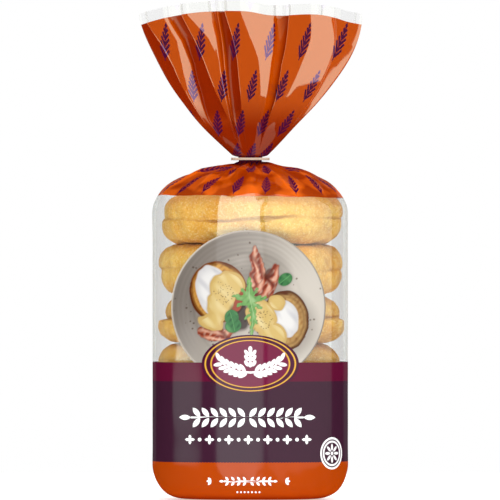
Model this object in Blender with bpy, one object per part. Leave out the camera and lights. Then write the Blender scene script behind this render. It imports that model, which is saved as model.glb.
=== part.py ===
"""Upright film bag of stacked split muffins: flat base, round-edged body, draped
shoulders, a neck gathered through a flat bread tag, and a pleated open mouth.

Metres, +Z up, the front faces -Y, and the base stands on z = 0.
"""

import math

import bpy

# ---- body
BODY_WIDTH = 0.102
BODY_DEPTH = 0.100
BODY_SQUARENESS = 2.4  # superellipse exponent of the body's cross-section
BASE_ROUND_OUT = 0.016  # how far the rounded bottom edge reaches inwards
BASE_ROUND_UP = 0.019  # and how far up
SHOULDER_START = 0.147  # top of the straight body

# ---- neck and bread tag
TAG_HEIGHT = 0.1765  # middle of the tag's thickness
TAG_THICKNESS = 0.0012
TAG_WIDTH = 0.0200
TAG_DEPTH = 0.0220
TAG_CORNER = 0.0035
TAG_HOLE_RADIUS = 0.0066
TAG_SLOT_WIDTH = 0.0056  # entry slot, open at the back edge
TAG_SLOT_FLARE = 0.0030  # how much wider the slot is where it meets the edge
CLEARANCE = 0.0003
NECK_RADIUS = 0.0094  # gathered film just above and below the tag
NECK_RELEASE = 0.0022  # height over which the gathered film swells back to that

# ---- mouth
MOUTH_HEIGHT = 0.259
MOUTH_WIDTH = 0.116
MOUTH_DEPTH = 0.036
MOUTH_CORNER_DROP = 0.007
MOUTH_PEAK = -0.25  # where the edge is highest, as a share of the half width
FLARE_FULLNESS = 1.6  # above 1, the flare widens fast at first
MOUTH_OPENING_DEPTH = 0.004  # the shallow valley between the two layers of the mouth

# ---- pleats
PLEATS = 16  # all the way round
PLEAT_SHOULDER = 0.0010
PLEAT_NECK = 0.0005
PLEAT_PINCH = 0.0003
PLEAT_MOUTH = 0.0026

# ---- faceting
AROUND = PLEATS * 7
BASE_RINGS = 6
BODY_RINGS = 4
SHOULDER_RINGS = 9
FLARE_RINGS = 9
SECTION_SAMPLES = 720

PINCH_RADIUS = TAG_HOLE_RADIUS - CLEARANCE
PINCH_HALF = TAG_THICKNESS / 2 + CLEARANCE
NECK_BELOW = TAG_HEIGHT - PINCH_HALF - NECK_RELEASE / 2
NECK_ABOVE = TAG_HEIGHT + PINCH_HALF + NECK_RELEASE / 2


def mixed(a, b, share):
    return a + (b - a) * share


def clear_scene():
    for obj in list(bpy.data.objects):
        bpy.data.objects.remove(obj, do_unlink=True)
    for mesh in list(bpy.data.meshes):
        bpy.data.meshes.remove(mesh)


def material(name, colour, roughness):
    made = bpy.data.materials.new(name)
    made.use_nodes = True
    shader = made.node_tree.nodes["Principled BSDF"]
    shader.inputs["Base Color"].default_value = (*colour, 1.0)
    shader.inputs["Roughness"].default_value = roughness
    shader.inputs["Metallic"].default_value = 0.0
    made.diffuse_color = (*colour, 1.0)
    return made


def section(half_width, half_depth, squareness):
    """Points of a superellipse, evenly spaced along it, from -X round the front (-Y) to +X and back."""
    fine = []
    for i in range(SECTION_SAMPLES + 1):
        turn = math.pi + 2 * math.pi * i / SECTION_SAMPLES
        c, s = math.cos(turn), math.sin(turn)
        fine.append(
            (
                half_width * math.copysign(abs(c) ** (2 / squareness), c),
                half_depth * math.copysign(abs(s) ** (2 / squareness), s),
            )
        )
    run = [0.0]
    for (x0, y0), (x1, y1) in zip(fine, fine[1:]):
        run.append(run[-1] + math.hypot(x1 - x0, y1 - y0))
    points, at = [], 0
    for k in range(AROUND):
        wanted = run[-1] * k / AROUND
        while run[at + 1] < wanted:
            at += 1
        share = (wanted - run[at]) / (run[at + 1] - run[at])
        points.append(
            (
                mixed(fine[at][0], fine[at + 1][0], share),
                mixed(fine[at][1], fine[at + 1][1], share),
            )
        )
    return points


def pleated(points, depth):
    """The section with its points moved out and in along its normals, inwards from the given outline."""
    moved = []
    for k, (x, y) in enumerate(points):
        x0, y0 = points[k - 1]
        x1, y1 = points[(k + 1) % AROUND]
        along = math.hypot(x1 - x0, y1 - y0)
        wave = math.cos(2 * math.pi * PLEATS * k / AROUND) - 1
        moved.append(
            (
                x + depth * wave * (y1 - y0) / along,
                y - depth * wave * (x1 - x0) / along,
            )
        )
    return moved


def ring(height, half_width, half_depth, squareness=2.0, pleat=0.0):
    outline = pleated(section(half_width, half_depth, squareness), pleat)
    return [(x, y, height) for x, y in outline]


def base_and_body_rings():
    rings = []
    for i in range(BASE_RINGS + 1):
        lift = 1 - math.cos(0.5 * math.pi * i / BASE_RINGS)
        drawn_in = BASE_ROUND_OUT * (1 - math.sin(0.5 * math.pi * i / BASE_RINGS))
        rings.append(
            ring(
                BASE_ROUND_UP * lift,
                BODY_WIDTH / 2 - drawn_in,
                BODY_DEPTH / 2 - drawn_in,
                BODY_SQUARENESS,
            )
        )
    for i in range(1, BODY_RINGS + 1):
        rings.append(
            ring(
                mixed(BASE_ROUND_UP, SHOULDER_START, i / BODY_RINGS),
                BODY_WIDTH / 2,
                BODY_DEPTH / 2,
                BODY_SQUARENESS,
            )
        )
    return rings


def shoulder_rings():
    rings = []
    last = math.acos(NECK_RADIUS / (BODY_WIDTH / 2))
    for i in range(1, SHOULDER_RINGS + 1):
        turn = last * i / SHOULDER_RINGS
        share = i / SHOULDER_RINGS
        half_width = BODY_WIDTH / 2 * math.cos(turn)
        height = mixed(
            SHOULDER_START, NECK_BELOW, math.sin(turn) / math.sin(last)
        )
        rings.append(
            ring(
                height,
                half_width,
                half_width * mixed(BODY_DEPTH / BODY_WIDTH, 1.0, share),
                mixed(BODY_SQUARENESS, 2.0, share),
                mixed(0.0, PLEAT_SHOULDER, math.sin(math.pi * share))
                + PLEAT_NECK * share,
            )
        )
    return rings


def neck_rings():
    return [
        ring(TAG_HEIGHT - PINCH_HALF, PINCH_RADIUS, PINCH_RADIUS, pleat=PLEAT_PINCH),
        ring(TAG_HEIGHT + PINCH_HALF, PINCH_RADIUS, PINCH_RADIUS, pleat=PLEAT_PINCH),
        ring(NECK_ABOVE, NECK_RADIUS, NECK_RADIUS, pleat=PLEAT_NECK),
    ]


def mouth_edge(x):
    """Height of the mouth's edge: highest left of the middle, lower at both corners."""
    off_peak = x / (MOUTH_WIDTH / 2) - MOUTH_PEAK
    reach = 1 - MOUTH_PEAK if off_peak > 0 else 1 + MOUTH_PEAK
    return MOUTH_HEIGHT - MOUTH_CORNER_DROP * (off_peak / reach) ** 2


def flare_rings():
    rings = []
    for i in range(1, FLARE_RINGS + 1):
        share = i / FLARE_RINGS
        widened = 1 - (1 - share) ** FLARE_FULLNESS
        outline = ring(
            0.0,
            mixed(NECK_RADIUS, MOUTH_WIDTH / 2, widened),
            mixed(NECK_RADIUS, MOUTH_DEPTH / 2, share),
            pleat=mixed(PLEAT_NECK, PLEAT_MOUTH, share),
        )
        spread = MOUTH_WIDTH / 2 / mixed(NECK_RADIUS, MOUTH_WIDTH / 2, widened)
        rings.append(
            [
                (x, y, mixed(NECK_ABOVE, mouth_edge(x * spread), share))
                for x, y, _ in outline
            ]
        )
    return rings


def fitted(rings):
    """The flare stretched so that the mouth's highest point is exactly at its stated height."""
    top = rings[-1]
    highest = max(z for _, _, z in top)
    for r in rings[-FLARE_RINGS:]:
        for k, (x, y, z) in enumerate(r):
            share = (z - NECK_ABOVE) / (highest - NECK_ABOVE)
            r[k] = (x, y, z + (MOUTH_HEIGHT - highest) * share)
    return rings


def mesh_object(name, points, faces, slot, smooth):
    mesh = bpy.data.meshes.new(name)
    mesh.from_pydata(points, [], faces)
    mesh.materials.append(slot)
    for face in mesh.polygons:
        face.use_smooth = smooth
    mesh.update()
    obj = bpy.data.objects.new(name, mesh)
    bpy.context.scene.collection.objects.link(obj)
    return obj


def build_bag(slot):
    rings = fitted(
        base_and_body_rings() + shoulder_rings() + neck_rings() + flare_rings()
    )
    points = [p for r in rings for p in r]
    faces = [tuple(reversed(range(AROUND)))]
    for i in range(len(rings) - 1):
        low, high = i * AROUND, (i + 1) * AROUND
        for k in range(AROUND):
            after = (k + 1) % AROUND
            faces.append((low + k, low + after, high + after, high + k))
    # The mouth closes in a valley that runs between its two layers.
    edge = (len(rings) - 1) * AROUND
    half = AROUND // 2
    valley = len(points)
    for k in range(1, half):
        front, back = rings[-1][k], rings[-1][AROUND - k]
        across = k / half
        points.append(
            (
                (front[0] + back[0]) / 2,
                (front[1] + back[1]) / 2,
                (front[2] + back[2]) / 2
                - MOUTH_OPENING_DEPTH * math.sin(math.pi * across) ** 0.5,
            )
        )
    for k in range(half):
        front, front_next = edge + k, edge + k + 1
        back, back_next = edge + (AROUND - k) % AROUND, edge + AROUND - k - 1
        low, low_next = valley + k - 1, valley + k
        if k == 0:
            faces.append((front, front_next, low_next))
            faces.append((front, low_next, back_next))
        elif k == half - 1:
            faces.append((front, front_next, low))
            faces.append((low, front_next, back))
        else:
            faces.append((front, front_next, low_next, low))
            faces.append((low, low_next, back_next, back))
    return mesh_object("bag", points, faces, slot, smooth=True)


def arc(cx, cy, radius, start, end, steps):
    """Points of an arc, its angles in degrees."""
    return [
        (
            cx + radius * math.cos(math.radians(mixed(start, end, i / steps))),
            cy + radius * math.sin(math.radians(mixed(start, end, i / steps))),
        )
        for i in range(steps + 1)
    ]


def build_tag(slot):
    x, y, r = TAG_WIDTH / 2, TAG_DEPTH / 2, TAG_CORNER
    outline = []
    for cx, cy, start in (
        (-(x - r), y - r, 90),
        (-(x - r), -(y - r), 180),
        (x - r, -(y - r), 270),
        (x - r, y - r, 360),
    ):
        outline += arc(cx, cy, r, start, start + 90, 4)
    # In from the back edge, round the hole, and out again.
    opened = math.degrees(math.asin(TAG_SLOT_WIDTH / 2 / TAG_HOLE_RADIUS))
    lip = TAG_SLOT_WIDTH / 2 + TAG_SLOT_FLARE / 2
    outline.append((lip, y))
    outline += arc(0, 0, TAG_HOLE_RADIUS, 90 - opened, opened - 270, 36)
    outline.append((-lip, y))
    count = len(outline)
    bottom = TAG_HEIGHT - TAG_THICKNESS / 2
    points = [(px, py, bottom) for px, py in outline]
    points += [(px, py, bottom + TAG_THICKNESS) for px, py in outline]
    faces = [tuple(reversed(range(count))), tuple(range(count, 2 * count))]
    for k in range(count):
        after = (k + 1) % count
        faces.append((k, after, count + after, count + k))
    return mesh_object("bread_tag", points, faces, slot, smooth=False)


def main():
    clear_scene()
    build_bag(material("film", (0.58, 0.13, 0.02), 0.18))
    build_tag(material("tag_board", (0.72, 0.58, 0.45), 0.6))


main()
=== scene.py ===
import math

import bpy
import numpy as np
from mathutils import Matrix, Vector
from mathutils.bvhtree import BVHTree


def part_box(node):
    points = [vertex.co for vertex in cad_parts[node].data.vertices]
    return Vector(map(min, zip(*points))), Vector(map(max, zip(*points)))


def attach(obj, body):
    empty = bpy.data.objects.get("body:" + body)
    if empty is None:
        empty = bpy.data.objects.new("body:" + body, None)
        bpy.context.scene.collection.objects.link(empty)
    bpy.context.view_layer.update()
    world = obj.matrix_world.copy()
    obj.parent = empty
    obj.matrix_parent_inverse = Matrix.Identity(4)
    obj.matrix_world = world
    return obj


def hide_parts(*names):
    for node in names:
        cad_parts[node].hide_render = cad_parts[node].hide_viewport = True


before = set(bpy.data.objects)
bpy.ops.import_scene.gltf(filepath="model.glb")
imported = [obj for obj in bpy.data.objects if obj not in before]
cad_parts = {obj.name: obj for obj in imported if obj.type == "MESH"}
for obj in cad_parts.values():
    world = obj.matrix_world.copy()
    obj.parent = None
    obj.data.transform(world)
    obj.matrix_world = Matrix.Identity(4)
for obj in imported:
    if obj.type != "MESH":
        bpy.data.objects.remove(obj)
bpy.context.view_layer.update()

# Lengths are in millimetres until a mesh is made, and the front of the bag faces -Y.
MM = 0.001


def millimetres(corners):
    return [np.array(corner) / MM for corner in corners]


BAG_LOW, BAG_HIGH = millimetres(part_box("bag"))
TAG_LOW, TAG_HIGH = millimetres(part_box("bread_tag"))

# ---------------------------------------------------------------- sizes

BODY_HALF_WIDTH = 51.0
BODY_HALF_DEPTH = (BAG_HIGH[1] - BAG_LOW[1]) / 2
BODY_SQUARENESS = 2.45
BASE_ROUND_OUT = 16.0
BASE_ROUND_UP = 19.0
SHOULDER_START = 147.0
SHOULDER_FULLNESS = 2.4
TAG_MIDDLE = (TAG_LOW[2] + TAG_HIGH[2]) / 2
PINCH_RADIUS = 6.2
PINCH_HALF = 1.0
NECK_RADIUS = 9.3
BASE_HEIGHT = 0.45  # how far the film's base stands off the floor
MOUTH_TOP = BAG_HIGH[2]
MOUTH_HALF_WIDTH = (BAG_HIGH[0] - BAG_LOW[0]) / 2
CLEAR_BORDER = 5.6  # unprinted film along the mouth
FAR_FROM_MOUTH = 90.0

# ---- print, as heights up the film
BAND_FOOT = 19.7
STRIP_FOOT = 61.5
STRIP_TOP = 71.3
WINDOW_TOP = 157.6
SHOULDER_TOP = 172.0
SCALLOP_PITCH = 1.6
SCALLOP_DEPTH = 0.5
FILM_ROUND = 330.0  # print length all the way round
EAR_COLUMNS = 18
EAR_PITCH = FILM_ROUND / EAR_COLUMNS
EAR_ROW_PITCH = 21.0
EAR_FIRST_ROW = 167.5

# ---- muffins: foot, top, half widths of the upper and lower half, their sideways shift
MUFFINS = (
    (132.4, 158.4, 46.6, 47.2, 0.9, 0.8),
    (106.0, 132.3, 47.4, 47.6, 0.3, 0.4),
    (81.0, 105.9, 45.4, 48.0, 0.3, 1.2),
    (54.6, 80.9, 47.0, 46.8, -0.9, -0.5),
    (28.6, 54.5, 46.8, 47.4, 0.6, 0.2),
    (2.2, 28.5, 47.2, 46.0, 0.2, -0.4),
)
MUFFIN_PITCH = 26.05


# ---------------------------------------------------------------- shader writing


def linear(code):
    """A colour written as #RRGGBB, as the linear numbers a shader wants."""
    found = []
    for i in (1, 3, 5):
        c = int(code[i : i + 2], 16) / 255
        found.append(c / 12.92 if c <= 0.04045 else ((c + 0.055) / 1.055) ** 2.4)
    return (*found, 1.0)


class Wire:
    """A node's output that sums can be written on: each operator adds a Math node."""

    def __init__(self, bench, socket):
        self.bench, self.socket = bench, socket

    def __abs__(self):
        return self.bench.maths("ABSOLUTE", self)

    def floor(self):
        return self.bench.maths("FLOOR", self)

    def root(self):
        return self.bench.maths("SQRT", self)

    def sine(self):
        return self.bench.maths("SINE", self)

    def most(self, other):
        return self.bench.maths("MAXIMUM", self, other)

    def held(self):
        """Kept between 0 and 1."""
        return self.bench.maths("ADD", self, 0.0, clamp=True)

    def under(self, limit, soft=0.2):
        """1 where this is below the limit, fading out over a soft edge."""
        return self.bench.maths("ADD", (limit - self) / soft, 0.5, clamp=True)

    def over(self, limit, soft=0.2):
        return self.bench.maths("ADD", (self - limit) / soft, 0.5, clamp=True)


def operator(operation, swapped=False):
    def run(self, other):
        values = (other, self) if swapped else (self, other)
        return self.bench.maths(operation, *values)

    return run


for word, operation in (
    ("add", "ADD"),
    ("sub", "SUBTRACT"),
    ("mul", "MULTIPLY"),
    ("truediv", "DIVIDE"),
    ("pow", "POWER"),
    ("mod", "FLOORED_MODULO"),
):
    setattr(Wire, f"__{word}__", operator(operation))
    setattr(Wire, f"__r{word}__", operator(operation, swapped=True))


class Bench:
    """The node tree of one material, or of the world."""

    def __init__(self, name, owner=None):
        self.owner = owner or bpy.data.materials.new(name)
        self.owner.use_nodes = True
        self.tree = self.owner.node_tree
        self.tree.nodes.clear()

    def plug(self, socket, value):
        if isinstance(value, Wire):
            self.tree.links.new(value.socket, socket)
        elif isinstance(value, bpy.types.NodeSocket):
            self.tree.links.new(value, socket)
        elif value is not None:
            socket.default_value = value

    def node(self, kind, settings=None, **values):
        """A node of this kind. Sockets go by name, with _ for a space, or by number, as n0."""
        made = self.tree.nodes.new(kind)
        for key, value in (settings or {}).items():
            setattr(made, key, value)
        for key, value in values.items():
            if key[0] == "n" and key[1:].isdigit():
                self.plug(made.inputs[int(key[1:])], value)
            else:
                self.plug(made.inputs[key.replace("_", " ")], value)
        return made

    def maths(self, operation, *values, clamp=False):
        made = self.node("ShaderNodeMath", {"operation": operation, "use_clamp": clamp})
        for socket, value in zip(made.inputs, values):
            self.plug(socket, value)
        return Wire(self, made.outputs[0])

    def blend(self, share, first, second):
        made = self.node("ShaderNodeMix", {"data_type": "RGBA"}, n0=share, n6=first, n7=second)
        return Wire(self, made.outputs[2])

    def split(self, vector):
        made = self.node("ShaderNodeSeparateXYZ", n0=vector)
        return [Wire(self, made.outputs[i]) for i in range(3)]

    def place(self):
        """Object coordinates in millimetres."""
        metres = self.node("ShaderNodeTexCoord").outputs["Object"]
        scaled = self.node("ShaderNodeVectorMath", {"operation": "SCALE"}, n0=metres, Scale=1 / MM)
        return Wire(self, scaled.outputs[0])

    def sheet(self, name):
        """The two coordinates of a UV map, in millimetres."""
        return self.split(self.node("ShaderNodeUVMap", {"uv_map": name}).outputs[0])[:2]

    def painted(self, name):
        made = self.node("ShaderNodeAttribute", {"attribute_name": name})
        return Wire(self, made.outputs["Fac"])

    def noise(self, where, size, detail=2.0, rough=0.5):
        """Noise between about 0.25 and 0.75, with lumps of the given size."""
        made = self.node(
            "ShaderNodeTexNoise", Vector=where, Scale=1 / size, Detail=detail, Roughness=rough
        )
        return Wire(self, made.outputs[0])

    def bump(self, height, strength, distance):
        made = self.node("ShaderNodeBump", Strength=strength, Distance=distance * MM, Height=height)
        return made.outputs[0]

    def facing(self):
        return Wire(self, self.node("ShaderNodeLayerWeight", Blend=0.5).outputs["Facing"])

    def principled(self, **values):
        return self.node("ShaderNodeBsdfPrincipled", **values).outputs[0]

    def ink(self, colour, rough=0.5):
        return self.principled(Base_Color=colour, Roughness=rough, Specular_IOR_Level=0.0)

    def layered(self, share, under, over):
        return self.node("ShaderNodeMixShader", n0=share, n1=under, n2=over).outputs[0]

    def varnished(self, under, shine, rough=0.07, tint=(1, 1, 1, 1), rim=0.15):
        """A glossy skin on a shader. shine is what it mirrors head on, and rim what edges add."""
        mirror = self.node("ShaderNodeBsdfAnisotropic", Color=tint, Roughness=rough)
        share = self.facing() ** 5.0 * rim + shine
        return self.layered(share.held(), under, mirror.outputs[0])

    def finish(self, shader):
        self.node("ShaderNodeOutputMaterial", Surface=shader)
        return self.owner


# ---------------------------------------------------------------- mesh making


def smoothstep(low, high, value):
    t = np.clip((value - low) / (high - low), 0.0, 1.0)
    return t * t * (3 - 2 * t)


def hump(middle, width, value):
    return np.exp(-(((value - middle) / width) ** 2))


def waves(seed, place, sizes, strength):
    """Smooth noise from a few seeded waves. place is an array whose last axis is x, y, z."""
    rng = np.random.default_rng(seed)
    total = np.zeros(place.shape[:-1])
    for size in sizes:
        way = rng.normal(size=3)
        way /= np.linalg.norm(way)
        total += np.sin(place @ way * (2 * math.pi / size) + rng.uniform(0, 6.28))
    return total * strength / math.sqrt(len(sizes))


def placed(name, data):
    """A new object in the scene."""
    made = bpy.data.objects.new(name, data)
    bpy.context.scene.collection.objects.link(made)
    return made


def new_piece(name, points, faces, smooth=True):
    """A mesh object in the scene. Its points are in metres."""
    mesh = bpy.data.meshes.new(name)
    mesh.from_pydata(points, [], faces)
    mesh.update()
    if smooth:
        mesh.shade_smooth()
    return placed(name, mesh)


CAP_PRINT = (0.0, -60.0)  # where on the film's print a cap is: below all of it


def laid(name, grid, round_closed=True, u=None, v=None, paint=None, capped=()):
    """A mesh from rows and columns of points. u and v have one more column if it is closed."""
    rows, cols = grid.shape[:2]
    last_column = cols if round_closed else cols - 1
    r, c = np.meshgrid(np.arange(rows - 1), np.arange(last_column), indexing="ij")
    r, c = r.ravel(), c.ravel()
    corner_rows = np.stack([r, r, r + 1, r + 1], 1)
    corner_cols = np.stack([c, c + 1, c + 1, c], 1)
    faces = (corner_rows * cols + corner_cols % cols).tolist()
    points = grid.reshape(-1, 3)
    for row, inward in capped:
        last = len(points)
        points = np.vstack([points, grid[row].mean(axis=0)])
        for k in range(cols):
            a, b = row % rows * cols + k, row % rows * cols + (k + 1) % cols
            faces.append([b, a, last] if inward else [a, b, last])
    piece = new_piece(name, (points * MM).tolist(), faces)
    mesh = piece.data
    if u is not None:
        layer = mesh.uv_layers.new(name="film")
        found = np.stack([u[corner_rows, corner_cols], v[corner_rows, corner_cols]], -1)
        flat = np.zeros((len(mesh.loops), 2))
        flat[: found.size // 2] = found.reshape(-1, 2)
        if len(flat) > found.size // 2:
            flat[found.size // 2 :] = CAP_PRINT
        layer.data.foreach_set("uv", flat.ravel())
    for key, values in (paint or {}).items():
        layer = mesh.attributes.new(key, "FLOAT", "POINT")
        full = np.zeros(len(points))
        full[: values.size] = values.ravel()
        layer.data.foreach_set("value", full)
    return piece


def normals_of(grid, round_closed=True):
    """Unit normals of a grid, outwards for rows that rise and columns that go to the right."""
    if round_closed:
        across = np.roll(grid, -1, axis=1) - np.roll(grid, 1, axis=1)
    else:
        across = np.gradient(grid, axis=1)
    along = np.gradient(grid, axis=0)
    found = np.cross(across, along)
    return found / np.maximum(np.linalg.norm(found, axis=-1, keepdims=True), 1e-9)


def dressed(piece, material, casts=True):
    """A finished piece. Thin film lets light through its print too, so it casts no shadow."""
    piece.data.materials.clear()
    piece.data.materials.append(material)
    piece.visible_shadow = casts
    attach(piece, "root")
    return piece


# ---------------------------------------------------------------- film: body


def body_rows():
    """Height, half width and distance up the film of each row, from under the base to the tag."""
    flat = BODY_HALF_WIDTH - BASE_ROUND_OUT
    rows = []
    for i in range(8):
        share = (i + 0.4) / 8
        rows.append((BASE_HEIGHT + 0.15 * (1 - share), flat * share))
    for i in range(27):
        turn = math.pi / 2 * i / 27
        up = BASE_HEIGHT + (BASE_ROUND_UP - BASE_HEIGHT) * (1 - math.cos(turn))
        rows.append((up, BODY_HALF_WIDTH - BASE_ROUND_OUT * (1 - math.sin(turn))))
    for i in range(56):
        rows.append((BASE_ROUND_UP + (SHOULDER_START - BASE_ROUND_UP) * i / 56, BODY_HALF_WIDTH))
    neck = TAG_MIDDLE - PINCH_HALF - 1.1
    last = math.asin((1 - (NECK_RADIUS / BODY_HALF_WIDTH) ** 2) ** (1 / SHOULDER_FULLNESS))
    for i in range(70):
        rise = math.sin(last * i / 69)
        up = SHOULDER_START + (neck - SHOULDER_START) * rise / math.sin(last)
        rows.append((up, BODY_HALF_WIDTH * math.sqrt(1 - rise**SHOULDER_FULLNESS)))
    for rise, radius in ((0.35, 8.6), (0.75, 7.6), (1.05, PINCH_RADIUS), (2.0, PINCH_RADIUS)):
        rows.append((neck + rise, radius))
    heights = np.array([r[0] for r in rows])
    widths = np.array([r[1] for r in rows])
    up = np.concatenate([[0], np.cumsum(np.hypot(np.diff(heights), np.diff(widths)))])
    straight = int(np.argmin(abs(heights - 80.0)))
    return heights, widths, up - up[straight] + heights[straight]


def body_grid(angles):
    """The film's body at these angles, 0 at the front and growing to the right, with its folds."""
    heights, widths, up = body_rows()
    h, w, v = heights[:, None], widths[:, None], up[:, None]
    a = angles[None, :]
    towards_neck = smoothstep(SHOULDER_START, TAG_MIDDLE - 4, h)
    square = BODY_SQUARENESS + (2.0 - BODY_SQUARENESS) * towards_neck
    depth = w * (BODY_HALF_DEPTH / BODY_HALF_WIDTH * (1 - towards_neck) + towards_neck)
    rounded_depth = BODY_HALF_DEPTH - 10.0 * np.maximum(0, 1 - h / 8.5) ** 2.2
    share_out = np.minimum(1, w / (BODY_HALF_WIDTH - BASE_ROUND_OUT))
    depth = np.where(h < BASE_ROUND_UP, rounded_depth * share_out, depth)
    s, c = np.sin(a), np.cos(a)
    reach = (abs(s / w) ** square + abs(c / depth) ** square) ** (-1 / square)
    grid = np.stack([reach * s, -reach * c, h + 0 * reach], axis=-1)
    out = normals_of(grid, len(angles) > 200)
    # Folds that run down from the gathered neck and fade out over the shoulders.
    rng = np.random.default_rng(11)
    folds = np.zeros_like(reach)
    for count in (7, 11, 15, 21, 29):
        drift = rng.uniform(-0.02, 0.02)
        phase = a * count + rng.uniform(0, 6.28) + drift * (v - 150) * math.sqrt(count)
        folds += (1 - 2 * abs(np.sin(phase / 2)) ** 0.8) / count**0.3
    calm = 1 - smoothstep(TAG_MIDDLE - 2.2, TAG_MIDDLE - 1.0, h)
    depth_of_folds = 0.75 * smoothstep(148, 186, v) * calm
    sag = waves(17, grid * [1, 1, 0.8], (17, 23, 31), 0.5) * smoothstep(150, 160, h) * calm
    sag = sag + waves(19, grid * [1, 1, 0.9], (22, 29, 37), 0.22) * hump(152, 14, h)
    # Slack and pull over the stack: broad soft hollows, and a faint waist between muffins.
    slack = waves(5, grid * [1, 1, 0.2], (34, 47, 61, 78), 0.06)
    slack = slack * smoothstep(8, 40, h) * (1 - smoothstep(150, 165, h))
    waist = -0.02 * np.cos((h - MUFFINS[5][0]) * 2 * math.pi / MUFFIN_PITCH)
    waist = waist * smoothstep(12, 30, h) * (1 - smoothstep(146, 156, h))
    puckers = 0.35 * waves(8, grid * [1, 1, 0.5], (9, 13, 19), 1.0) * hump(5, 8, h)
    puckers = puckers * smoothstep(0.5, 4, h)
    lean = -0.3 * smoothstep(0, 30, h)
    push = depth_of_folds * folds + sag + slack + waist + puckers + lean
    grid = grid + out * push[..., None]
    grid[..., 0] = np.clip(grid[..., 0], BAG_LOW[0], BAG_HIGH[0])
    grid[..., 2] = np.maximum(grid[..., 2], 0.35)
    # Painted shade: the ink is darkened in the hollows of the shoulder folds, towards the neck and
    # along the bottom edge.
    painted_shade = smoothstep(0.2, -1.4, folds) * smoothstep(150, 172, v) * 0.6
    painted_shade = np.maximum(painted_shade, smoothstep(176, 203, v))
    painted_shade = np.maximum(painted_shade, (1 - smoothstep(0.6, 3.6, h)) * 0.8)
    return grid, np.broadcast_to(v, reach.shape), painted_shade


def film_sheet(name, grid, u, v, squeeze=1.0, from_mouth=FAR_FROM_MOUTH, painted_shade=0.0, **more):
    """A sheet of film, with what its material reads at each point."""
    read = {"squeeze": squeeze, "from_mouth": from_mouth, "painted_shade": painted_shade}
    paint = {key: np.broadcast_to(value, grid.shape[:2]) for key, value in read.items()}
    return laid(name, grid, u=u, v=v, paint=paint, **more)


BODY_COLUMNS = 520


def film_body():
    angles = np.linspace(-math.pi, math.pi, BODY_COLUMNS, endpoint=False)
    grid, v, painted_shade = body_grid(angles)
    u = np.linspace(-FILM_ROUND / 2, FILM_ROUND / 2, BODY_COLUMNS + 1)
    u = u[None, :].repeat(len(grid), 0)
    v = np.concatenate([v, v[:, :1]], axis=1)
    squeeze = np.clip(np.hypot(grid[..., 0], grid[..., 1]) / BODY_HALF_WIDTH, 0.1, 1.0)
    return film_sheet("film_body", grid, u, v, squeeze, painted_shade=painted_shade, capped=((0, True),))


def back_seam():
    """The lap where the film's two edges are sealed, down the middle of the back."""
    angles = math.pi + np.linspace(-0.085, 0.085, 13)
    grid, v, painted_shade = body_grid(angles)
    rise = np.array([0.03] + [0.32] * 11 + [0.03])[None, :, None]
    grid = grid + normals_of(grid, False) * rise
    keep = slice(20, 150)
    grid, v, painted_shade = grid[keep], v[keep], painted_shade[keep]
    u = (angles * FILM_ROUND / (2 * math.pi))[None, :].repeat(len(grid), 0)
    return film_sheet("back_seam", grid, u, v, painted_shade=painted_shade, round_closed=False)


# ---------------------------------------------------------------- film: flare above the tag

# The flare is a few flat panels, each lapping over the hollow to its left. A station is a
# line that runs from the neck to the mouth: its place across the bag at five heights, from
# low to high, as a share of the half width there, then how it is reached from the station
# before it. "lean" is the slope of the film between them in degrees, where more turns it to
# the right, and "out" is how far it stands in front of the bag's middle. The last number is
# the radius it is bent to.
STATION_HEIGHTS = (0.23, 0.41, 0.61, 0.77, 0.92)
STATIONS = (
    # left corner, and the hollow behind the first panel
    ((-1.00, -1.00, -1.00, -1.00, -1.00), "out", 0.6, 0.5),
    ((-0.86, -0.855, -0.845, -0.875, -0.925), "out", 0.9, 0.8),
    # first panel
    ((-0.89, -0.878, -0.866, -0.894, -0.945), "out", 5.4, 0.35),
    ((-0.885, -0.872, -0.780, -0.740, -0.790), "lean", -4, 0.9),
    ((-0.810, -0.715, -0.673, -0.690, -0.755), "lean", 19, 0.9),
    ((-0.780, -0.680, -0.640, -0.660, -0.728), "lean", 62, 1.2),
    ((-0.375, -0.452, -0.500, -0.552, -0.612), "out", 0.6, 0.9),
    # second panel
    ((-0.400, -0.478, -0.525, -0.575, -0.632), "out", 7.4, 0.35),
    ((-0.366, -0.366, -0.370, -0.440, -0.585), "lean", -5, 0.9),
    ((-0.360, -0.360, -0.360, -0.356, -0.364), "lean", 15, 0.7),
    ((-0.335, -0.330, -0.326, -0.322, -0.325), "out", 2.2, 0.8),
    # narrow pleat
    ((-0.322, -0.317, -0.308, -0.302, -0.304), "out", 5.4, 0.5),
    ((-0.300, -0.290, -0.275, -0.275, -0.280), "out", 1.4, 1.2),
    ((-0.105, -0.118, -0.140, -0.178, -0.216), "out", 0.5, 0.9),
    # broad middle panel
    ((-0.130, -0.143, -0.165, -0.200, -0.238), "out", 10.6, 0.35),
    ((0.205, 0.156, 0.075, -0.030, -0.095), "lean", -4, 1.0),
    ((0.270, 0.235, 0.205, 0.203, 0.203), "lean", 15, 0.6),
    ((0.295, 0.262, 0.234, 0.232, 0.232), "lean", 62, 1.2),
    ((0.405, 0.382, 0.345, 0.349, 0.358), "out", 0.8, 0.9),
    # right panel
    ((0.385, 0.362, 0.325, 0.329, 0.338), "out", 9.6, 0.35),
    ((0.600, 0.575, 0.565, 0.575, 0.550), "lean", -5, 1.0),
    ((0.930, 0.900, 0.840, 0.790, 0.715), "lean", 16, 0.8),
    ((0.936, 0.908, 0.850, 0.802, 0.748), "lean", 50, 0.5),
    ((0.942, 0.914, 0.856, 0.810, 0.764), "lean", -55, 0.3),
    ((1.00, 1.00, 1.00, 1.00, 1.00), "lean", -5, 0.5),
)
FLARE_ROWS = 136
FLARE_SPACING = 0.6
BEND_POINTS = 5
FLARE_TAPER = 0.85  # how the panels shrink towards the neck
SQUEEZE_WIDTH = 54.3
NECK_EAR_ROW = 179.3  # height of the flare's lowest row of ears
EAR_ROW_STEPS = (13.8, 1.85)  # the step to the next row, and what each step adds to it


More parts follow.
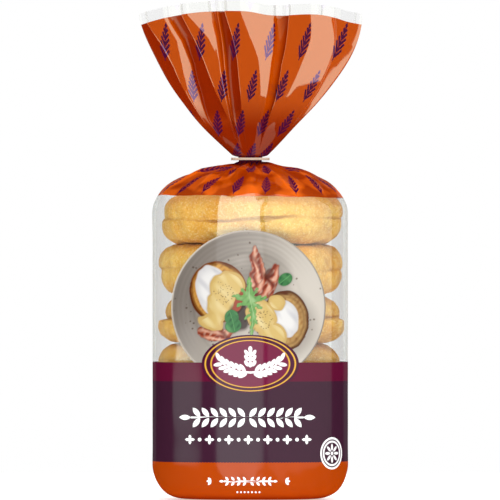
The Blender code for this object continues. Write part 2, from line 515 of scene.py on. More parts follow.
def mouth_height(x):
    """The mouth's edge across the bag: highest left of the middle, then a second low crest."""
    off = x / MOUTH_HALF_WIDTH + 0.25
    reach = np.where(off > 0, 1.25, 0.75)
    ripple = 1.4 * np.sin((x - 24) * 2 * math.pi / 56)
    ripple = ripple * smoothstep(-8, 10, x) * (1 - smoothstep(44, 56, x))
    return MOUTH_TOP - 0.3 - 7.0 * (off / reach) ** 2 + ripple


def flare_half_width(share):
    return NECK_RADIUS + (MOUTH_HALF_WIDTH - NECK_RADIUS) * (1 - (1 - share) ** 1.6)


def stations_at(share, half, drift=0.0):
    """Across and out of every station, for each row of the flare."""
    scale = (half / MOUTH_HALF_WIDTH) ** FLARE_TAPER
    across, out, before = [], [], None
    for places, way, amount, _ in STATIONS:
        n = np.interp(share, STATION_HEIGHTS, places)
        n = n + drift * np.sin(3.1 * n + 1.0) * (1 - n * n)
        x = n * half
        if way == "out":
            o = amount * scale
        else:
            o = out[-1] - np.tan(math.radians(amount)) * (x - before)
        across.append(x)
        out.append(o)
        before = x
    return np.stack([np.stack(across, 1), np.stack(out, 1)], -1)


def bent(stations):
    """The stations joined into a sheet, with a bend at each of them."""
    radii = np.array([s[3] for s in STATIONS])
    step = np.diff(stations, axis=1)
    length = np.linalg.norm(step, axis=-1)
    way = step / np.maximum(length, 1e-6)[..., None]
    counts = np.maximum(1, np.round(length.mean(0) / FLARE_SPACING)).astype(int)
    columns = [stations[:, 0]]
    left = stations[:, 0]
    last = stations.shape[1] - 1
    for i in range(1, last + 1):
        corner = stations[:, i]
        if i < last:
            room = 0.45 * np.minimum(length[:, i - 1], length[:, i])
            r = np.minimum(radii[i], room)[:, None]
            enter, leave = corner - way[:, i - 1] * r, corner + way[:, i] * r
        else:
            enter = leave = corner
        for k in range(1, counts[i - 1] + 1):
            columns.append(left + (enter - left) * k / counts[i - 1])
        if i < last:
            for k in range(1, BEND_POINTS):
                t = k / BEND_POINTS
                columns.append(enter * (1 - t) ** 2 + corner * 2 * t * (1 - t) + leave * t * t)
        left = leave
    return np.stack(columns, 1)


def film_flare():
    share = np.linspace(0, 1, FLARE_ROWS) ** 1.1
    half = flare_half_width(share)
    low = TAG_MIDDLE + PINCH_HALF + 1.0
    sides = []
    for turn, drift in ((1, 0.0), (-1, 0.035)):
        sheet = bent(stations_at(share, half, drift))
        n = sheet[..., 0] / half[:, None]
        depth = sheet[..., 1]
        scale = (half[:, None] / MOUTH_HALF_WIDTH) ** FLARE_TAPER
        # Painted shade where the film lies far back, in the hollows behind the panels' lapped
        # edges.
        painted_shade = 1 - smoothstep(0.8, 4.6, depth / scale)
        round_out = NECK_RADIUS * np.sqrt(np.maximum(1 - np.clip(n, -1, 1) ** 2, 0))
        folded = smoothstep(0.0, 0.3, share)[:, None]
        swell = 5.8 * smoothstep(0.04, 0.42, share) - 3.4 * smoothstep(0.42, 1.0, share)
        swell = swell[:, None] * (1 - 0.8 * n * n)
        depth = depth * folded + round_out * (1 - folded) + swell
        sides.append((sheet[..., 0] * turn, -depth * turn, painted_shade, turn + 0 * n))
    x, y, painted_shade, side = (np.concatenate([s[i] for s in sides], 1) for i in range(4))
    share = share[:, None]
    top = mouth_height(x[-1:])
    sway = 1.3 * hump(0.72, 0.2, share) - 0.9 * hump(0.2, 0.14, share)
    z = low + (top - low) * share
    grid = np.stack([x, y, z], axis=-1)
    # Soft dents in the panels, so that what they mirror is broken up.
    dents = waves(21, grid * [1, 1, 0.4], (15, 21, 29, 40), 0.16) * smoothstep(0.1, 0.5, share)
    grid = grid + normals_of(grid) * dents[..., None]
    grid[..., 0] += sway
    # The pinched foot of the flare stands inside the tag's hole.
    turn = np.arctan2(x[0], -y[0])[None, :]
    foot = []
    for height, radius in ((-2.0, PINCH_RADIUS), (-0.95, PINCH_RADIUS), (-0.7, 7.4), (-0.35, 8.6)):
        x, y = radius * np.sin(turn), -radius * np.cos(turn)
        foot.append(np.stack([x, y, low + height + 0 * turn], -1))
    grid = np.concatenate(foot + [grid])
    share = np.concatenate([np.zeros((4, 1)), share])
    # More painted shade towards the gathered neck.
    at_neck = 1 - smoothstep(0.15, 0.38, share)
    painted_shade = np.concatenate([np.zeros((4, painted_shade.shape[1])), painted_shade])
    painted_shade = np.maximum(painted_shade * smoothstep(0.05, 0.3, share), at_neck)
    side = side[:1]
    squeeze = (flare_half_width(share) / SQUEEZE_WIDTH) ** 0.55
    u = grid[..., 0] / squeeze
    u = np.where(side < 0, FILM_ROUND / 2 - u, u)
    u = np.concatenate([u, u[:, -1:]], axis=1)
    height = grid[..., 2]
    # Rows of ears stand closer together near the neck.
    first, growth = EAR_ROW_STEPS
    rows_up = (np.sqrt(first**2 + 4 * growth * (height - NECK_EAR_ROW)) - first) / (2 * growth)
    v = EAR_FIRST_ROW + (rows_up + 1) * EAR_ROW_PITCH
    v = np.concatenate([v, v[:, :1]], axis=1)
    grid[..., 0] = np.clip(grid[..., 0], BAG_LOW[0], BAG_HIGH[0])
    return film_sheet("film_flare", grid, u, v, squeeze, (top - low) * (1 - share), painted_shade)


# ---------------------------------------------------------------- film: finish

ORANGE = linear("#BE4A00")
# bright orange of the painted highlight patches on the shoulders
SHOULDER_PAINTED_LIGHT = linear("#E0600E")
SHOULDER_SHADE = linear("#A23A00")
FOOT_ORANGE = linear("#AC3F00")
# dark red of the painted shade in fold hollows, at the neck and along the base
PAINTED_SHADE_RED = linear("#7C1400")
PURPLE = linear("#3A182C")
BURGUNDY = linear("#5A0C2D")
EAR_PURPLE = linear("#480A34")
WINDOW_GLOSS = 0.158
FLARE_GLOSS = 0.195
LABEL_GLOSS = 0.033
PLATE_GLOSS = 0.024
HAZE_GREY = (0.74, 0.74, 0.74, 1.0)
EAR_SHEEN = (0.8, 0.6, 1.0, 1.0)
WARM = (0.93, 1.0, 0.72, 1.0)


def wheat_ears(u, v, squeeze):
    """Mask of the scattered ears: stems with paired pointed grains, in staggered rows."""
    row = (v - EAR_FIRST_ROW) / EAR_ROW_PITCH
    row_number = (row + 0.5).floor()
    stagger = 0.5 - (row_number % 2.0) * 0.5
    column = (u - 1.4) / EAR_PITCH - stagger
    column_number = (column + 0.5).floor()
    a = (column - column_number) * EAR_PITCH * squeeze
    b = (row - row_number) * EAR_ROW_PITCH
    tilt = math.radians(13)
    sideways = a * math.cos(tilt) - b * math.sin(tilt)
    across = abs(sideways)
    along = a * math.sin(tilt) + b * math.cos(tilt)
    share = ((along + 7.8) / 16.2).held()
    # Grains lean outwards and up, and each one ends in a point outside the next.
    grain = ((along - across * 1.9 + sideways * 0.25) / 2.75) % 1.0
    envelope = (share**0.66 * math.pi).sine().most(0.0) ** 0.8 * 2.45
    serrated = envelope * (1.08 - grain * 0.42)
    inside = across.under(serrated, 0.3) * share.over(0.02, 0.03) * share.under(0.985, 0.03)
    gap = grain.over(0.76, 0.2) * across.over(0.28, 0.2)
    spine = across.under(0.24, 0.16) * along.under(4.0, 1.0) * along.over(-8.8, 0.2)
    return (inside * (1 - gap)).most(spine).held()


def film_material(name, gloss, gloss_tint, haze_floor, clear):
    bench = Bench(name)
    u, v = bench.sheet("film")
    squeeze = bench.painted("squeeze")
    edge = bench.painted("from_mouth")
    painted_shade = bench.painted("painted_shade")
    place = bench.place()
    across, _, height = bench.split(place)
    # Print
    scallop = abs((u / SCALLOP_PITCH) % 1.0 - 0.5) * SCALLOP_DEPTH
    above_foot = v.over(scallop + BAND_FOOT, 0.12)
    above_band = v.over(STRIP_FOOT, 0.12)
    window_top = WINDOW_TOP - across * 0.0155
    window = v.over(STRIP_TOP, 0.12) * v.under(window_top, 0.12)
    # Painted light and shade over the shoulders: a darker orange, with soft brighter patches on it
    # as painted highlights.
    shoulder = height.under(SHOULDER_TOP, 6.0) * v.over(100.0)
    painted_light_patches = ((bench.noise(place, 13.0, 1.5) - 0.48) * 9.0).held()
    orange = bench.blend(shoulder, ORANGE, SHOULDER_SHADE)
    orange = bench.blend(painted_light_patches * shoulder, orange, SHOULDER_PAINTED_LIGHT)
    orange = bench.blend(v.under(BAND_FOOT + 2.0), orange, FOOT_ORANGE)
    # Painted shade: dark red blended into the ink in the fold hollows, near the neck and along the
    # base.
    orange = bench.blend(painted_shade * 0.85, orange, PAINTED_SHADE_RED)
    ears = wheat_ears(u, v, squeeze) * v.over(WINDOW_TOP, 0.2)
    orange = bench.blend(ears, orange, EAR_PURPLE)
    below_window = v.under(STRIP_TOP + 1, 0.2)
    colour = bench.blend(above_foot * below_window, orange, PURPLE)
    colour = bench.blend(above_band * below_window, colour, BURGUNDY)
    ink = (1 - window) * edge.over(CLEAR_BORDER, 0.12)
    printed = bench.ink(colour, 0.55)
    # Bare film: clear head on, whiter where it is seen at a slant.
    slant = bench.facing()
    haze = (slant**4.0 * 0.6 + haze_floor).held()
    glass = bench.node("ShaderNodeBsdfTransparent", Color=(clear, clear, clear, 1))
    pane = bench.layered(haze, glass.outputs[0], bench.ink(HAZE_GREY))
    under = bench.layered(ink, pane, printed)
    # Little is mirrored where shade is painted in the hollows of the folds, or by the bare border
    # of the mouth.
    shine = (gloss - below_window * (gloss - LABEL_GLOSS)) * (1 - painted_shade * 0.85)
    shine = shine * edge.over(CLEAR_BORDER, 0.2).most(0.3)
    shine = shine * (1 - v.over(WINDOW_TOP, 4.0) * height.under(SHOULDER_TOP, 6.0) * 0.4)
    rough = below_window * 0.08 + 0.05
    rim = 0.12 - ink * 0.1
    plain = bench.varnished(under, shine, rough, gloss_tint, rim)
    eared = bench.varnished(under, shine, rough, EAR_SHEEN, rim)
    return bench.finish(bench.layered(ears, plain, eared))


# ---------------------------------------------------------------- printed pictures

WHITE = "#FFFFFF"
GOLD_LINE = "#E0AA3C"
DARK_PURPLE = "#3A182C"
RIPPLES = ((17, 23, 31), (5.0, 6.5, 8.1), (1.9, 2.4, 3.1), (0.9, 1.1, 1.4))


class Canvas:
    """Points of a flat print, each with a colour that shapes are painted over."""

    def __init__(self, x, z, seed):
        self.x, self.z = x, z
        self.colour = np.ones(x.shape + (3,))
        self.random = np.random.default_rng(seed)
        place = np.stack([x, z, 0 * x], -1)
        self.ripples = [waves(seed + k, place, sizes, 1.0) for k, sizes in enumerate(RIPPLES)]

    def oval(self, x, z, wide, high, turn=0.0, ragged=0.0):
        """How far each point is outside an oval, with an edge as ragged as asked."""
        c, s = math.cos(math.radians(turn)), math.sin(math.radians(turn))
        dx, dz = self.x - x, self.z - z
        u, v = dx * c + dz * s, dz * c - dx * s
        reach = np.sqrt((u / wide) ** 2 + (v / high) ** 2)
        return (reach - 1) * min(wide, high) + ragged * (self.ripples[0] + 0.6 * self.ripples[1])

    def stroke(self, points, width, ragged=0.0):
        """How far each point is outside a bent band, whose width may change from end to end."""
        widths = np.broadcast_to(width, (len(points),))
        nearest = np.full(self.x.shape, 99.0)
        for (ax, az), (bx, bz), wa, wb in zip(points, points[1:], widths, widths[1:]):
            t = (self.x - ax) * (bx - ax) + (self.z - az) * (bz - az)
            t = np.clip(t / ((bx - ax) ** 2 + (bz - az) ** 2), 0, 1)
            away = np.hypot(self.x - ax - t * (bx - ax), self.z - az - t * (bz - az))
            nearest = np.minimum(nearest, away - (wa + (wb - wa) * t) / 2)
        return nearest + ragged * (self.ripples[1] + 0.6 * self.ripples[2])

    def lay(self, outside, code, strength=1.0, soft=0.25):
        share = np.clip(0.5 - outside / soft, 0, 1) * strength
        self.tint(share, code)

    def tint(self, share, code):
        share = np.clip(share, 0, 1)[..., None]
        self.colour = self.colour * (1 - share) + np.array(linear(code)[:3]) * share

    def mottle(self, inside, ripple, amount, code, least=0.0):
        """Soft blotches of one size of ripple inside a shape."""
        self.tint((self.ripples[ripple] * amount + least) * inside, code)

    def flecks(self, outside, count, code, low=0.18, high=0.4, strength=0.9):
        """Small dots scattered inside a shape."""
        inside = np.flatnonzero(outside.ravel() < -0.5)
        for k in self.random.choice(inside, min(count, len(inside)), replace=False):
            x, z = self.x.ravel()[k], self.z.ravel()[k]
            size = self.random.uniform(low, high)
            self.lay(np.hypot(self.x - x, self.z - z) - size, code, strength)


def paint_toast(canvas, outside, crumb, rim):
    canvas.lay(outside, rim)
    canvas.lay(outside + 1.3, crumb, soft=1.2)
    canvas.mottle(outside < -1.2, 2, 0.35, "#8E5526", 0.1)
    canvas.mottle(outside < -1.2, 1, 0.3, "#F0C878")
    charred = smoothstep(-0.4, 1.0, canvas.ripples[0] + 0.5 * canvas.ripples[1])
    canvas.tint(smoothstep(1.6, 0.5, abs(outside + 0.9)) * (outside < 0) * charred, "#5A2A12")
    canvas.flecks(outside + 1.5, 40, "#7A431C", 0.15, 0.35, 0.6)


def paint_egg(canvas, outside):
    canvas.lay(outside, "#EEECE9", soft=0.5)
    canvas.tint(smoothstep(-4.0, 0.0, outside) * (outside < 0) * 0.45, "#B9B7BC")
    canvas.mottle(outside < -0.6, 1, 0.4, "#C4C2C8")


def paint_sauce(canvas, outside):
    canvas.lay(outside - 0.35, "#8A6430", 0.4, 0.9)
    canvas.lay(outside, "#D9BB74", soft=0.4)
    canvas.tint(smoothstep(-3.0, -0.2, outside) * (outside < 0) * 0.32, "#B98E48")
    canvas.mottle(outside < -1.0, 1, 0.35, "#EEDDA6", 0.15)


def paint_leaf(canvas, outside, spine, code, dark, light):
    canvas.lay(outside - 0.3, "#2A3A20", 0.35, 0.8)
    canvas.lay(outside, code)
    canvas.mottle(outside < -0.2, 2, 0.45, dark)
    canvas.mottle(outside < -0.4, 1, 0.4, light)
    canvas.lay(canvas.stroke(spine, 0.3), light, 0.7)


def paint_bacon(canvas, outside, along):
    """along is a pair that points down the rasher."""
    canvas.lay(outside - 0.3, "#5E3426", 0.5, 0.8)
    canvas.lay(outside, "#BC6448")
    across = canvas.x * along[1] - canvas.z * along[0]
    streak = np.sin(across * 1.5 + canvas.ripples[1] * 1.1 + canvas.ripples[0])
    inside = outside < -0.1
    canvas.tint(np.clip(streak, 0, 1) * 0.75 * inside, "#EDBCA0")
    canvas.tint(np.clip(-streak - 0.1, 0, 1) * inside, "#7A2A1C")
    canvas.tint(smoothstep(-0.9, 0, outside) * inside * 0.6, "#7A2E20")
    canvas.mottle(inside, 2, 0.3, "#F2D2B8")
    canvas.mottle(inside, 1, -0.6, "#6A2418")


PICTURE_DEPTH = 0.74  # how much light the picture's inks give back


def paint_plate(canvas):
    """A speckled stoneware plate with two topped muffin halves, rashers and leaves."""
    x, z, ripples = canvas.x, canvas.z, canvas.ripples
    oval, stroke, lay, tint = canvas.oval, canvas.stroke, canvas.lay, canvas.tint
    r = np.hypot(x, z)
    lit = smoothstep(-0.1, 1.0, 0.5 + x / 84 - z / 170)
    tint(np.ones_like(x), "#837A72")
    tint(lit, "#DDD5C9")
    well = smoothstep(28.5, 26.5, r)
    tint(well * 0.22, "#CFC6BA")
    tint(np.exp(-(((r - 28) / 1.2) ** 2)) * (0.30 - 0.25 * lit), "#6F675F")
    rings = 0.5 + 0.5 * np.sin(r * 2 * math.pi / 2.3 + ripples[0] * 0.5)
    upper_left = smoothstep(-10, 30, z * 0.8 - x * 0.6)
    tint(rings * 0.2 * upper_left * (r > 16), "#6A625B")
    side = np.arctan2(z, x)
    left_rim = 0.5 - 0.5 * np.cos(side - math.radians(-20))
    tint(smoothstep(38.6, 39.4, r) * left_rim * 0.9, "#E4D9CA")
    tint(smoothstep(38.9, 39.6, r) * (1 - left_rim) * 0.8, "#6A5F56")
    plate = r - 39.0
    canvas.flecks(plate, 130, "#50392A", 0.22, 0.55, 0.75)

    # Shadows under the food
    for at in ((-13, 4, 17, 18), (19, -10, 16, 17), (9, 14, 12, 14)):
        lay(oval(*at), "#5C534C", 0.42, 7.0)

    # Left half: toast, egg and sauce
    toast = oval(-15.6, 8.0, 14.9, 15.8, 6, 0.18)
    paint_toast(canvas, toast, "#D29C4A", "#7E441D")
    tint(smoothstep(3, -6, x + 22) * (toast < -1) * 0.35, "#B5762F")
    egg = oval(-18.0, 8.6, 8.9, 13.2, 14, 0.35)
    paint_egg(canvas, egg)
    path = ((-24.0, -12.6), (-18.5, -14.6), (-12.5, -14.2), (-8.5, -12.0))
    paint_bacon(canvas, stroke(path, (4.6, 6.0, 6.2, 3.5), 0.25), (1.0, -0.1))
    sauce = np.minimum(oval(-10.8, 10.0, 9.4, 8.6, 20), oval(-13.6, 2.2, 7.6, 8.6, -10))
    sauce = np.minimum(sauce, oval(-19.0, -7.6, 7.0, 3.7, -14)) + 0.35 * ripples[1]
    sauce = np.minimum(sauce, stroke(((-14, 0), (-17.5, -8)), 8.0) + 0.3 * ripples[1])
    paint_sauce(canvas, sauce)
    pepper = np.maximum(sauce, oval(-13.0, 7.6, 6.0, 6.8))
    canvas.flecks(pepper, 42, "#4A3520", 0.12, 0.3)

    # Dark shadow in the middle, then the rashers
    lay(oval(-4.0, -5.0, 5.2, 7.4, 10, 0.4), "#33231F", 0.9, 1.5)
    path = ((3.6, 31.4), (3.4, 25.5), (5.2, 19.0), (4.4, 12.5))
    paint_bacon(canvas, stroke(path, (1.2, 5.8, 7.6, 8.6), 0.35), (0.12, -1.0))
    path = ((14.0, 20.6), (12.4, 14.8), (8.6, 9.2), (3.4, 6.8))
    paint_bacon(canvas, stroke(path, (3.2, 6.8, 9.4, 7.0), 0.35), (-0.5, -0.8))
    lay(stroke(((-6.4, -0.6), (-4.4, 4.4), (-1.8, 8.0)), (3.8, 4.2, 3.0), 0.2), "#A04A34")
    lay(oval(10.6, 17.4, 2.0, 3.0, -30), "#5A2A20", 0.8, 0.8)
    leaf = oval(19.0, 14.4, 3.9, 3.1, 35)
    paint_leaf(canvas, leaf, ((16, 12.2), (21.6, 16.6)), "#3B7A45", "#1F5030", "#6FAE6A")

    # Right half: toast, egg and sauce
    toast = oval(18.6, -7.0, 12.6, 15.8, -4, 0.18)
    paint_toast(canvas, toast, "#B48D55", "#5E3A20")
    lay(abs(toast + 2.6) - 0.5, "#7A5630", 0.5, 0.8)
    egg = oval(18.6, -5.8, 7.0, 9.6, 12, 0.4)
    paint_egg(canvas, egg)
    sauce = np.minimum(oval(6.8, -4.4, 7.6, 8.8, 30), oval(12.8, -14.2, 7.4, 6.4, -25))
    sauce = np.minimum(sauce, oval(14.4, 2.2, 4.6, 4.2, 20)) + 0.35 * ripples[1]
    paint_sauce(canvas, sauce)
    canvas.flecks(np.maximum(sauce, oval(8.4, -6.4, 5.0, 5.4)), 36, "#4A3520", 0.12, 0.3)

    # Leaves over the middle
    jagged = np.minimum(
        stroke(((0.6, 14.8), (0.2, 6.0), (2.6, -3.0), (1.6, -15.0)), (1.6, 4.4, 3.2, 1.0)),
        stroke(((-7.4, 6.0), (-2.6, 4.6), (3.4, 4.0), (8.6, 5.2)), (1.6, 3.6, 3.6, 1.2)),
    )
    for tip, root, wide in (
        ((-3.6, 9.4), (0.0, 5.6), 2.4),
        ((4.4, 9.6), (1.6, 6.0), 2.0),
        ((-5.4, 1.0), (-0.8, 2.4), 2.6),
        ((6.6, -0.2), (2.6, 1.4), 2.8),
        ((-1.6, -5.6), (1.8, -3.0), 1.8),
        ((4.4, -8.0), (2.2, -5.0), 1.4),
    ):
        jagged = np.minimum(jagged, stroke((root, tip), (wide, 1.1)))
    jagged = jagged + 0.3 * ripples[2] + 0.2 * ripples[3]
    spine = ((0.4, 13.6), (0.4, 6.0), (2.6, -3.0), (1.6, -14.0))
    paint_leaf(canvas, jagged, spine, "#6FA557", "#38712F", "#B4D39A")
    leaf = np.minimum(oval(-8.6, -5.2, 3.6, 4.0, 0), oval(-7.8, -9.4, 4.2, 3.6, 20))
    spine = ((-9.6, -2.2), (-8.0, -7.0), (-7.0, -12.0))
    paint_leaf(canvas, leaf, spine, "#3C7C46", "#1E4D2E", "#69A765")
    canvas.colour *= PICTURE_DEPTH


BADGE_MIDDLE = (0.0, 70.6)
BADGE_HALF = (25.0, 15.0)


def paint_badge(canvas):
    """A plain oval badge: gold lines round a field with a sprig on it."""
    wide, high = BADGE_HALF
    oval, stroke, lay = canvas.oval, canvas.stroke, canvas.lay
    outside = oval(0, 0, wide, high)
    canvas.tint(np.ones_like(canvas.x), "#44122E")
    lay(abs(outside + 1.1) - 0.22, GOLD_LINE)
    lay(outside + 2.9, "#6A1638", soft=0.3)
    lay(abs(outside + 2.9) - 0.2, GOLD_LINE)
    for side in (-1, 1):
        stem = ((0.0, -4.4), (side * 6.5, -4.0), (side * 12.0, -1.6), (side * 16.5, 2.6))
        lay(stroke(stem, (1.0, 0.9, 0.8, 0.5)), WHITE)
        for k in range(6):
            x = side * (3.2 + 2.5 * k)
            z = -4.4 + 0.024 * x * x
            for lift, turn in ((2.1, 52), (-1.8, -22)):
                leaf = oval(x + side * 0.8, z + lift, 2.3, 0.95, side * (turn + 2.5 * k))
                lay(leaf, WHITE)
    for k, up in enumerate((7.6, 5.2, 2.6, -0.2)):
        lay(oval(0, up, 1.0, 1.5), WHITE)
        for side in (-1, 1):
            if k:
                lay(oval(side * 1.9, up + 0.5, 0.9, 1.7, -side * 32), WHITE)


PLATE_MIDDLE = (-1.0, 99.7)
PLATE_RADIUS = 39.8
PRINT_LIFT = 0.05
BADGE_LIFT = 0.12
MARK_LIFT = 0.2
PRINT_SEED = 31


def surface_finder(film):
    """A function that lays points on the front of the film, a little way in front of it."""
    sides = [side.vertices for side in film.data.polygons]
    tree = BVHTree.FromPolygons([point.co for point in film.data.vertices], sides)

    def lay_on(points, lift, turn=0.0):
        found = []
        across = Vector((math.cos(turn), math.sin(turn), 0))
        inwards = Vector((-math.sin(turn), math.cos(turn), 0))
        for x, z in points:
            start = across * x * MM + Vector((0, 0, z * MM)) - inwards * 0.2
            hit, normal, _, _ = tree.ray_cast(start, inwards)
            if normal.dot(inwards) > 0:
                normal = -normal
            found.append(hit + normal * lift * MM)
        return found

    return lay_on


def picture(name, lay_on, middle, half, lift, spacing, paint, floor=None, turn=0.0):
    """An oval picture laid on the film from turn degrees to the right, and cut off below floor."""
    aside = math.radians(turn)
    rings = int(max(half) / spacing)
    spokes = int(2 * math.pi * max(half) / spacing / 6) * 6
    radius = np.linspace(0, 1, rings + 1)[1:, None]
    spoke = np.linspace(0, 2 * math.pi, spokes, endpoint=False)[None, :]
    x = radius * half[0] * np.cos(spoke)
    z = radius * half[1] * np.sin(spoke)
    if floor is not None:
        z = np.maximum(z, floor - middle[1])
    flat = np.concatenate([[(0.0, 0.0)], np.stack([x, z], -1).reshape(-1, 2)])
    centre = lay_on([middle], 0.0)[0] / MM
    across = centre.x * math.cos(aside) + centre.y * math.sin(aside)
    points = lay_on(flat + np.array((across, middle[1])), lift, aside)
    faces = [(0, 1 + k, 1 + (k + 1) % spokes) for k in range(spokes)]
    for r in range(rings - 1):
        a, b = 1 + r * spokes, 1 + (r + 1) * spokes
        for k in range(spokes):
            n = (k + 1) % spokes
            corners = (a + k, b + k, b + n, a + n)
            if len({tuple(np.round(flat[c], 4)) for c in corners}) == 4:
                faces.append(corners)
    piece = new_piece(name, points, faces)
    canvas = Canvas(flat[:, 0], flat[:, 1], seed=PRINT_SEED)
    paint(canvas)
    layer = piece.data.attributes.new("print", "FLOAT_COLOR", "POINT")
    rgba = np.concatenate([np.clip(canvas.colour, 0, 1), np.ones((len(flat), 1))], 1)
    layer.data.foreach_set("color", rgba.astype(np.float32).ravel())
    return piece


def ink_material(name, shine, rough, colour=None):
    """Ink on the film, in one colour or in the colours of a picture."""
    bench = Bench(name)
    if colour is None:
        print_layer = bench.node("ShaderNodeAttribute", {"attribute_name": "print"})
        colour = print_layer.outputs["Color"]
    return bench.finish(bench.varnished(bench.ink(colour), shine, rough))


# ---- white ornaments: each is a flat outline on the film


def leaf_outline(x, z, length, width, turn, steps=9):
    """A pointed oval from its root at x, z."""
    a = math.radians(turn)
    share = np.linspace(0, 1, steps)
    bulge = np.sin(share * math.pi) ** 0.8 * width / 2
    along = np.concatenate([share, share[-2:0:-1]]) * length
    across = np.concatenate([bulge, -bulge[-2:0:-1]])
    return [
        (x + l * math.cos(a) - c * math.sin(a), z + l * math.sin(a) + c * math.cos(a))
        for l, c in zip(along, across)
    ][::-1]


def disc_outline(x, z, wide, high, steps=14):
    return [
        (x + wide * math.cos(t), z + high * math.sin(t))
        for t in np.linspace(0, 2 * math.pi, steps, endpoint=False)
    ]


def bar_outline(x, z, length, height):
    across = np.linspace(-length / 2, length / 2, max(2, int(length / 2.5)))
    low = [(x + a, z - height / 2) for a in across]
    high = [(x + a, z + height / 2) for a in across[::-1]]
    return low + high


def garland(x, z, length, pitch, leaf, width):
    """A stem with leaves in pairs that point away from its middle."""
    shapes = [bar_outline(x, z, length, 0.9)]
    count = int(length / 2 / pitch)
    for side in (-1, 1):
        for k in range(count):
            root = x + side * (1.2 + k * pitch)
            for way in (-1, 1):
                turn = (52 if side > 0 else 128) * way
                shapes.append(leaf_outline(root, z + 0.3 * way, leaf, width, turn))
        shapes.append(leaf_outline(x + side * length / 2, z, leaf, width, 0 if side > 0 else 180))
    return shapes


def white_marks():
    """From the top: a long garland, a row of flowers and dots, a short garland, a row of dots."""
    middle = -1.0
    shapes = garland(middle - 0.6, 43.0, 58.0, 4.6, 6.0, 2.7)
    for k in range(-6, 7):
        if k % 2:
            shapes.append(disc_outline(middle + k * 5.0, 31.6, 0.95, 0.95))
        else:
            for turn in (0, 90, 180, 270):
                shapes.append(leaf_outline(middle + k * 5.0, 31.6, 2.5, 1.5, turn))
    for side, back in ((-1, 180), (1, 0)):
        for turn in (0, 48, -48):
            shapes.append(leaf_outline(middle + side * 19.0, 10.2, 2.6, 1.3, turn + back))
    shapes += garland(middle, 10.2, 25.0, 3.0, 2.5, 1.25)
    shapes += [disc_outline(middle + 1.9 * k, 4.7, 0.5, 0.5, 10) for k in range(-3, 4)]
    return shapes


def flat_marks(name, lay_on, outlines, lift):
    points, faces = [], []
    for outline in outlines:
        start = len(points)
        points += lay_on(outline, lift)
        faces.append(tuple(range(start, start + len(outline))))
    return new_piece(name, points, faces, smooth=False)


SEAL_MIDDLE = (42.1, 24.3)
SEAL_HALF = (7.6, 8.3)
SEAL_TURN = 16.0


def paint_seal(canvas):
    """A plain round seal: rings and a sheaf."""
    canvas.x = canvas.x * SEAL_HALF[1] / SEAL_HALF[0]
    r = np.hypot(canvas.x, canvas.z)
    canvas.tint(np.ones_like(r), WHITE)
    canvas.lay(abs(r - 6.9) - 0.35, DARK_PURPLE)
    canvas.lay(r - 5.6, DARK_PURPLE)
    for turn in range(0, 360, 45):
        a = math.radians(turn)
        canvas.lay(canvas.oval(3.2 * math.cos(a), 3.2 * math.sin(a), 1.7, 0.7, turn), WHITE)
    canvas.lay(r - 0.9, WHITE)


# ---------------------------------------------------------------- muffins


MUFFIN_COLUMNS = 300
MUFFIN_ROWS = 118
MUFFIN_FLAT_ROWS = 9
MUFFIN_RIM = 12.5


def muffin(name, foot, top, upper, lower, shift_upper, shift_lower, seed):
    """A split muffin: two flat-faced halves with rounded rims that meet in a ragged split line."""
    rng = np.random.default_rng(seed)
    angle = np.linspace(-math.pi, math.pi, MUFFIN_COLUMNS, endpoint=False)[None, :]
    turn = np.linspace(-1, 1, MUFFIN_ROWS)[:, None] * math.pi / 2
    c = np.cos(turn) ** (2 / 2.5)
    s = np.sign(turn) * abs(np.sin(turn)) ** (2 / 2.35)
    half, middle = (top - foot) / 2, (top + foot) / 2

    def outline(size):
        total = np.full_like(angle, size)
        for n in (2, 3, 4, 5, 7):
            total = total + rng.uniform(0.15, 0.55) * np.cos(n * angle + rng.uniform(0, 6.28))
        return total

    above = smoothstep(-0.04, 0.04, s)
    wide = outline(upper) * above + outline(lower) * (1 - above)
    shift = shift_upper * above + shift_lower * (1 - above)
    reach = wide - MUFFIN_RIM + MUFFIN_RIM * c
    lobes = 0.55 * (abs(s) ** 0.9 * (1 - abs(s)) * 4) * c
    reach = reach + lobes - 0.5 * (1 - abs(s)) * c
    z = middle + half * s + 0 * angle

    def wander(start, *waves_round):
        for amount, count in waves_round:
            start = start + amount * np.sin(angle * count + rng.uniform(0, 6))
        return start

    split = wander(middle, (0.8, 2), (0.5, 5), (0.25, 11))
    deep = wander(1.0, (0.55, 3), (0.35, 8))
    reach = reach - np.maximum(deep, 0.15) * hump(0.0, 0.45, z - split) * 0.9
    # Painted shade along the split, darkest where the groove is deepest.
    split_shade = np.maximum(deep, 0.3) * hump(0.0, 0.6, z - split) * 0.5
    grid = np.stack([reach * np.sin(angle) + shift, -reach * np.cos(angle), z], -1)
    inner = np.linspace(0.03, 1, MUFFIN_FLAT_ROWS, endpoint=False)[:, None]

    def face(row, scale):
        disc = grid[row][None].repeat(MUFFIN_FLAT_ROWS, 0)
        centre = grid[row][:, 0].mean()
        disc[..., 0] = centre + (disc[..., 0] - centre) * scale
        disc[..., 1] *= scale
        return disc

    grid = np.concatenate([face(0, inner), grid, face(-1, inner[::-1])])
    lumps = waves(seed + 40, grid, (11, 15, 19, 26, 33), 0.42)
    lumps = lumps + waves(seed + 70, grid, (4.2, 5.1, 6.3, 7.7), 0.13)
    grid = grid + normals_of(grid) * (lumps - 0.3)[..., None]
    grid[..., 2] = np.clip(grid[..., 2], foot - 0.1, top + 0.1)
    plain = np.zeros((MUFFIN_FLAT_ROWS, MUFFIN_COLUMNS))
    split_shade = np.concatenate([plain, split_shade, plain])
    return laid(name, grid, capped=((0, True), (-1, False)), paint={"split_shade": split_shade})


PALE = linear("#F6CC68")
GOLD = linear("#EDAB34")
BAKED = linear("#D08420")
BROWNED = linear("#A85E18")
FLECK = linear("#FFE7A4")


